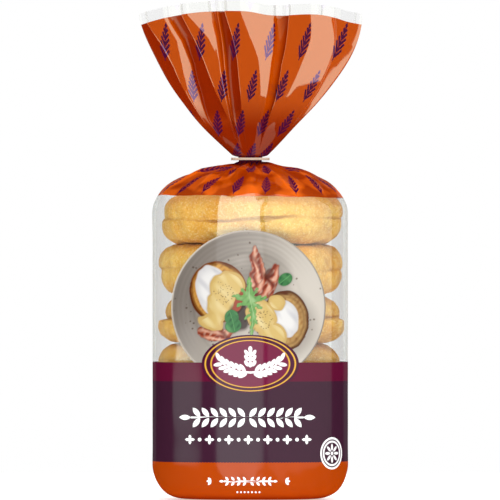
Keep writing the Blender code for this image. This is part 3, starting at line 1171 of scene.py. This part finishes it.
def muffin_material():
    bench = Bench("muffin crust")
    place = bench.place()
    x, y, z = bench.split(place)
    broad = bench.noise(place, 22.0, 2.0)
    patchy = bench.noise(place, 8.0, 4.0, 0.6)
    fine = bench.noise(place, 2.1, 3.0, 0.7)
    grain = bench.noise(place, 1.0, 2.0, 0.7)
    within = ((z - MUFFINS[5][0]) / MUFFIN_PITCH) % 1.0
    rim = abs(within - 0.5) * 2.0
    colour = bench.blend(((broad - 0.5) * 3.0 + 0.5).held(), GOLD, PALE)
    colour = bench.blend(((patchy - 0.5) * 3.0).held() * 0.6, colour, BAKED)
    at_edge = (rim - 0.55) * 1.4 + (broad - 0.5) * 1.6
    colour = bench.blend(at_edge.held() * 0.45, colour, BAKED)
    right_end = ((x - 30.0) / 18.0).held() * ((patchy - 0.36) * 2.6).held()
    colour = bench.blend(right_end * 0.8, colour, BROWNED)
    radius = (x * x + y * y).root()
    griddled = radius.under(38.0, 4.0) * rim.over(0.86, 0.1)
    colour = bench.blend(griddled * ((patchy - 0.3) * 1.6).held(), colour, BROWNED)
    # Semolina grain: pale flecks with darker gaps between them.
    colour = bench.blend(((grain - 0.52) * 8.0).held() * 0.6, colour, FLECK)
    colour = bench.blend(((0.47 - fine) * 6.0).held() * 0.5, colour, BAKED)
    # Painted shade along the split.
    colour = bench.blend(bench.painted("split_shade").held() * 0.85, colour, BROWNED)
    normal = bench.bump(fine * 0.6 + grain * 0.4, 0.45, 0.5)
    return bench.finish(
        bench.principled(
            Base_Color=colour,
            Roughness=fine * 0.2 + 0.62,
            Specular_IOR_Level=0.2,
            Subsurface_Weight=0.1,
            Subsurface_Radius=(1.0, 0.6, 0.3),
            Subsurface_Scale=0.0015,
            Normal=normal,
        )
    )


DUST_EACH = 420


def muffin_dust(muffins):
    """Grains of semolina that cling to the crusts, as one mesh of small eight-sided crumbs."""
    rng = np.random.default_rng(77)
    points, faces = [], []
    corners = np.array([(1, 0, 0), (-1, 0, 0), (0, 1, 0), (0, -1, 0), (0, 0, 1), (0, 0, -1)])
    sides = [(0, 2, 4), (2, 1, 4), (1, 3, 4), (3, 0, 4), (2, 0, 5), (1, 2, 5), (3, 1, 5), (0, 3, 5)]
    for piece in muffins:
        count = len(piece.data.vertices)
        for k in rng.choice(count, DUST_EACH, replace=False):
            spot = piece.data.vertices[int(k)]
            size = rng.uniform(0.16, 0.36, 3) * MM
            turned = corners * size
            start = len(points)
            points += [tuple(spot.co[i] + c[i] for i in range(3)) for c in turned]
            faces += [tuple(start + n for n in side) for side in sides]
    return new_piece("muffin_dust", points, faces, smooth=False)


def crumb_material():
    bench = Bench("semolina")
    tone = ((bench.noise(bench.place(), 3.0, 1.0) - 0.4) * 4.0).held()
    colour = bench.blend(tone, linear("#F3DDA4"), linear("#D29A45"))
    return bench.finish(bench.principled(Base_Color=colour, Roughness=0.8))


# ---------------------------------------------------------------- tag and base


def tag_material():
    bench = Bench("tag plastic")
    cloud = bench.noise(bench.place(), 6.0, 2.0)
    colour = bench.blend(((cloud - 0.4) * 3.0).held(), linear("#CDB8A2"), linear("#DCCAB6"))
    return bench.finish(
        bench.principled(
            Base_Color=colour,
            Roughness=cloud * 0.15 + 0.32,
            Specular_IOR_Level=0.35,
            Subsurface_Weight=0.1,
            Subsurface_Scale=0.001,
        )
    )


def base_seal():
    """The crimped strip that closes the film, folded flat under the base."""
    across = np.linspace(-31.0, 31.0, 94)[None, :]
    along = np.linspace(-4.0, 4.0, 15)[:, None]
    z = 0.2 + 0.09 * np.sin(across * 2 * math.pi / 2.0) * hump(0, 3.2, along)
    grid = np.stack([across + 0 * z, -along + 0 * z, z], -1)
    ones = np.ones(grid.shape[:2])
    # Its ink carries a little painted shade, as it lies under the base.
    return film_sheet("base_seal", grid, ones * 40.0, ones * -30.0, painted_shade=0.3, round_closed=False)


# ---------------------------------------------------------------- studio


def area_light(name, place, aim, width, height, radiance, seen=True):
    """A soft box. radiance is how bright its face looks. One that isn't seen fills in shadow."""
    data = bpy.data.lights.new(name, "AREA")
    data.shape = "RECTANGLE"
    data.size, data.size_y = width, height
    data.energy = radiance * math.pi * width * height
    lamp = placed(name, data)
    lamp.location = place
    way = Vector(aim) - Vector(place)
    lamp.rotation_euler = way.to_track_quat("-Z", "Y").to_euler()
    lamp.visible_camera = False
    lamp.visible_glossy = seen
    return lamp


def lit_only(lamp, pieces):
    """Keeps a lamp's light, and its reflection, to the given pieces."""
    lit = bpy.data.collections.new(lamp.name + " lights")
    for piece in pieces:
        lit.objects.link(piece)
    lamp.light_linking.receiver_collection = lit


def mirrored(name, start, end, low, high, strength=1.0):
    """An upright soft box on a line between two points of the floor plan. It faces the bag."""
    (ax, ay), (bx, by) = start, end
    centre = ((ax + bx) / 2, (ay + by) / 2, (low + high) / 2)
    face = Vector((by - ay, ax - bx, 0))
    if face.dot(Vector((-centre[0], -centre[1], 0))) < 0:
        face = -face
    aim = Vector(centre) + face
    width = math.hypot(bx - ax, by - ay)
    return area_light(name, centre, aim, width, high - low, BOX_RADIANCE * strength)


BOX_RADIANCE = 1.3
CAMERA_DISTANCE = 6.0
FRAME_HEIGHT = 0.2595


def studio(flare):
    scene = bpy.context.scene
    scene.view_settings.view_transform = "Standard"
    bench = Bench("studio", bpy.data.worlds.new("studio"))
    white = (1, 1, 1, 1)
    seen = bench.node("ShaderNodeBackground", Color=white, Strength=1.0).outputs[0]
    dim = bench.node("ShaderNodeBackground", Color=white, Strength=0.05).outputs[0]
    camera_ray = bench.node("ShaderNodeLightPath").outputs["Is Camera Ray"]
    bench.node("ShaderNodeOutputWorld", Surface=bench.layered(camera_ray, dim, seen))
    scene.world = bench.owner

    turns = np.linspace(0, 2 * math.pi, 96, endpoint=False)
    ring = [(0.7 * math.cos(t), 0.7 * math.sin(t), -0.0002) for t in turns]
    floor = new_piece("floor", ring, [tuple(range(len(ring)))], smooth=False)
    bench = Bench("pale floor")
    pale = bench.principled(
        Base_Color=(0.95, 0.95, 0.95, 1),
        Roughness=0.9,
        Specular_IOR_Level=0.0,
        Emission_Color=white,
        Emission_Strength=0.5,
    )
    floor.data.materials.append(bench.finish(pale))
    floor.visible_glossy = False
    pieces = [o for o in scene.objects if o.type == "MESH" and not o.hide_render]

    # The boxes that the film mirrors. Their edges are where the bands of shine end. The
    # straight sides and the gathered top each have their own boxes.
    others = [o for o in pieces if o is not flare]
    front = mirrored("front box", (-0.204, -0.45), (0.0465, -0.45), 0.0, 1.15, 1.5)
    right = mirrored("right box", (0.069, -0.45), (1.2, 0.3), 0.0, 1.15, 0.6)
    low_left = mirrored("low left box", (-0.62, 0.05), (-0.46, -0.52), 0.012, 0.084)
    low_left.data.shape = "ELLIPSE"
    for lamp in (front, right, low_left):
        lit_only(lamp, others)
    high_left = mirrored("high left box", (-0.62, 0.12), (-0.42, -0.50), 0.0, 0.65)
    high_right = mirrored("high right box", (0.069, -0.45), (1.2, 0.3), 0.0, 0.62)
    for lamp in (high_left, high_right):
        lit_only(lamp, [flare])
    mirrored("back box", (0.55, 0.75), (-0.5, 0.8), 0.0, 0.5, 0.4)
    area_light("left fill", (-1.2, -1.3, 0.6), (0, 0, 0.1), 1.2, 1.0, 1.2, seen=False)
    area_light("top fill", (0.1, -0.5, 1.5), (0, 0, 0.1), 1.8, 1.6, 2.1, seen=False)
    area_light("back fill", (0, 1.6, 0.9), (0, 0, 0.1), 2.0, 1.4, 0.95, seen=False)

    lens = bpy.data.cameras.new("camera")
    lens.sensor_width = 36.0
    lens.lens = lens.sensor_width * CAMERA_DISTANCE / FRAME_HEIGHT
    lens.clip_end = 50
    camera = placed("camera", lens)
    camera.location = (-0.00015, -CAMERA_DISTANCE, FRAME_HEIGHT / 2 - 0.0005)
    camera.rotation_euler = (math.pi / 2, 0, 0)
    scene.camera = camera


# ---------------------------------------------------------------- making it


def main():
    film = film_material("printed film", WINDOW_GLOSS, (0.86, 1, 0.94, 1), 0.01, 0.962)
    flare_film = film_material("gathered film", FLARE_GLOSS, WARM, 0.02, 0.99)
    body = dressed(film_body(), film, casts=False)
    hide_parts("bag")
    flare = dressed(film_flare(), flare_film, casts=False)
    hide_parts("bag")
    dressed(back_seam(), film, casts=False)
    lay_on = surface_finder(body)
    size = (PLATE_MIDDLE, (PLATE_RADIUS, PLATE_RADIUS), PRINT_LIFT, 0.36)
    plate = picture("plate_print", lay_on, *size, paint_plate, floor=STRIP_TOP)
    dressed(plate, ink_material("plate ink", PLATE_GLOSS, 0.08))
    size = (BADGE_MIDDLE, BADGE_HALF, BADGE_LIFT, 0.25)
    badge = picture("badge_print", lay_on, *size, paint_badge)
    dressed(badge, ink_material("badge ink", LABEL_GLOSS, 0.08))
    size = (SEAL_MIDDLE, SEAL_HALF, BADGE_LIFT, 0.2)
    seal = picture("seal_print", lay_on, *size, paint_seal, turn=SEAL_TURN)
    dressed(seal, ink_material("seal ink", LABEL_GLOSS, 0.08))
    marks = flat_marks("white_marks", lay_on, white_marks(), MARK_LIFT)
    dressed(marks, ink_material("white ink", LABEL_GLOSS, 0.1, linear(WHITE)))
    crust = muffin_material()
    muffins = [
        dressed(muffin(f"muffin_{number + 1}", *sizes, seed=100 + number), crust)
        for number, sizes in enumerate(MUFFINS)
    ]
    dressed(muffin_dust(muffins), crumb_material())
    dressed(base_seal(), film, casts=False)
    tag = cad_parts["bread_tag"]
    for place in tag.material_slots:
        place.material = tag_material()
    studio(flare)


main()
